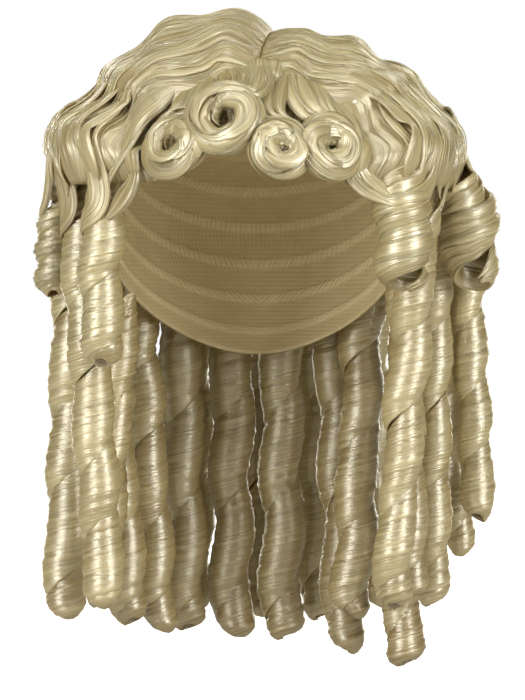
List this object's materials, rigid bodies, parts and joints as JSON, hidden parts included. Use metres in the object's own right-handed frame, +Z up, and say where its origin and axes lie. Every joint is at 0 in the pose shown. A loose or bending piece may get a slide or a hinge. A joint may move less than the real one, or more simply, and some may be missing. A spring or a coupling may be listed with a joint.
{
  "type": "ringlet wig",
  "caption": "Blonde wig of long hanging ringlets on a close cap, with a parted crown, full side waves and rolled fringe curls; the head goes in from below.",
  "frame": {"origin": "the crown of the head, where the top of the head bears on the inside of the cap", "axes": "+Z up, -Y the way the face looks, +X the wearer's left"},
  "size_m": [0.2402, 0.2617, 0.3462],
  "materials": {
    "hair": "satin blonde fibre",
    "cap_net": "matt net"
  },
  "bodies": {
    "root": {"wig_cap": "cap_net", "crown_hair_right": "hair", "crown_hair_left": "hair", "side_wave_right": "hair", "side_wave_left": "hair", "fringe_curl_1": "hair", "fringe_curl_2": "hair", "fringe_curl_3": "hair", "fringe_curl_4": "hair", "ringlet_right_temple": "hair", "ringlet_right_front": "hair", "ringlet_right_high": "hair", "ringlet_right_outer": "hair", "ringlet_right_inner": "hair", "ringlet_right_nape": "hair", "ringlet_right_under": "hair", "ringlet_left_temple": "hair", "ringlet_left_front": "hair", "ringlet_left_high": "hair", "ringlet_left_middle": "hair", "ringlet_left_outer": "hair", "ringlet_left_short": "hair", "ringlet_left_low": "hair", "ringlet_left_inner": "hair", "ringlet_left_under": "hair", "ringlet_back_1": "hair", "ringlet_back_2": "hair", "ringlet_back_3": "hair", "ringlet_back_4": "hair", "ringlet_back_5": "hair", "ringlet_back_6": "hair", "ringlet_back_7": "hair", "ringlet_back_8": "hair", "ringlet_back_9": "hair"}
  },
  "joints": []
}
